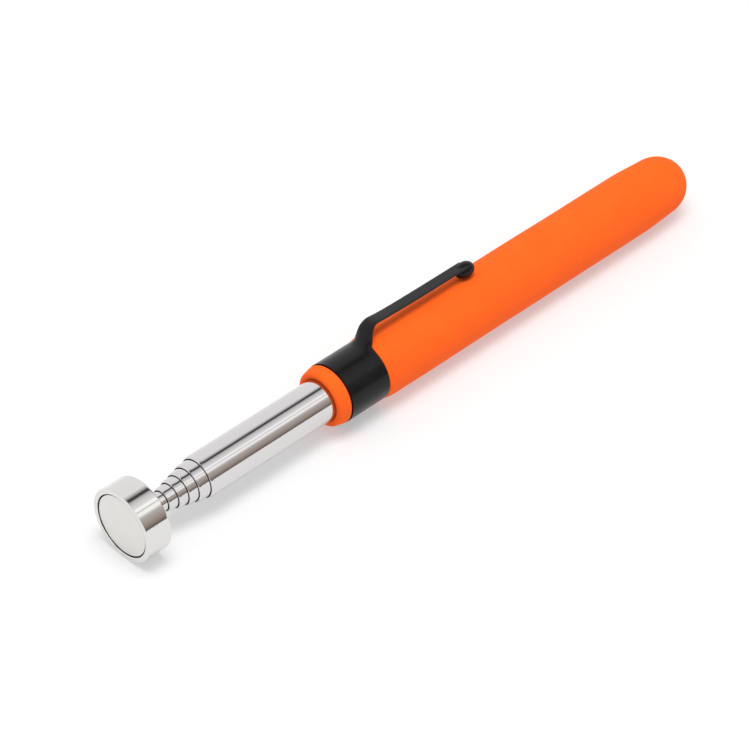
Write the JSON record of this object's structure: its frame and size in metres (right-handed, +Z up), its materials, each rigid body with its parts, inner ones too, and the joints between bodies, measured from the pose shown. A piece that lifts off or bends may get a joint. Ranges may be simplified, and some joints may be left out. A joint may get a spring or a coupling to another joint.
{
  "type": "telescopic magnetic pick-up tool",
  "caption": "Pocket pick-up tool: a round magnet in a polished cup on nested telescopic tubes, with a soft foam handle and a spring clip.",
  "frame": {"origin": "centre of the magnet's face", "axes": "+X along the tool from the magnet to the handle's round end, +Z up with the tool lying down"},
  "size_m": [0.173, 0.0174, 0.0201],
  "materials": {
    "chrome": "polished chrome plate on a turned steel cup",
    "nickel": "satin nickel plate on a sintered magnet",
    "spacer": "black moulded plastic ring",
    "rivet_steel": "zinc plated steel",
    "stainless": "drawn and polished stainless steel tube",
    "bronze": "phosphor bronze spring strip",
    "plug_plastic": "moulded nylon",
    "grip_foam": "orange closed-cell foam rubber, fine matt skin",
    "clip_paint": "black baked enamel on spring steel"
  },
  "bodies": {
    "grip": {"foam_grip": "grip_foam", "tube_1": "stainless", "end_plug": "plug_plastic", "clip_band": "clip_paint"},
    "clip": {"clip_arm": "clip_paint"},
    "section_2": {"tube_2": "stainless", "friction_sleeve_2": "bronze"},
    "section_3": {"tube_3": "stainless", "friction_sleeve_3": "bronze"},
    "section_4": {"tube_4": "stainless", "friction_sleeve_4": "bronze"},
    "section_5": {"tube_5": "stainless", "friction_sleeve_5": "bronze"},
    "section_6": {"friction_sleeve_6": "bronze"},
    "tip": {"tube_6": "stainless", "head_rivet": "rivet_steel", "magnet_cup": "chrome", "magnet_spacer": "spacer", "magnet_disc": "nickel"}
  },
  "joints": [
    {"name": "section_2_slide", "type": "slide", "parent": "grip", "child": "section_2", "axis": [-1, 0, 0], "range_m": [0, 0.11745]},
    {"name": "section_3_slide", "type": "slide", "parent": "section_2", "child": "section_3", "axis": [-1, 0, 0], "range_m": [0, 0.1203]},
    {"name": "section_4_slide", "type": "slide", "parent": "section_3", "child": "section_4", "axis": [-1, 0, 0], "range_m": [0, 0.12265]},
    {"name": "section_5_slide", "type": "slide", "parent": "section_4", "child": "section_5", "axis": [-1, 0, 0], "range_m": [0, 0.125]},
    {"name": "section_6_slide", "type": "slide", "parent": "section_5", "child": "section_6", "axis": [-1, 0, 0], "range_m": [0, 0.12735]},
    {"name": "tip_spin", "type": "hinge", "parent": "section_6", "child": "tip", "pos_m": [0, 0, 0], "axis": [1, 0, 0], "continuous": true},
    {"name": "clip_flex", "type": "hinge", "parent": "grip", "child": "clip", "pos_m": [0.06915, 0.00124, 0.00704], "axis": [0, -0.9848, 0.1736], "range_deg": [0, 6], "stiffness_Nm_per_rad": 1.2, "springref_deg": -1.15}
  ]
}
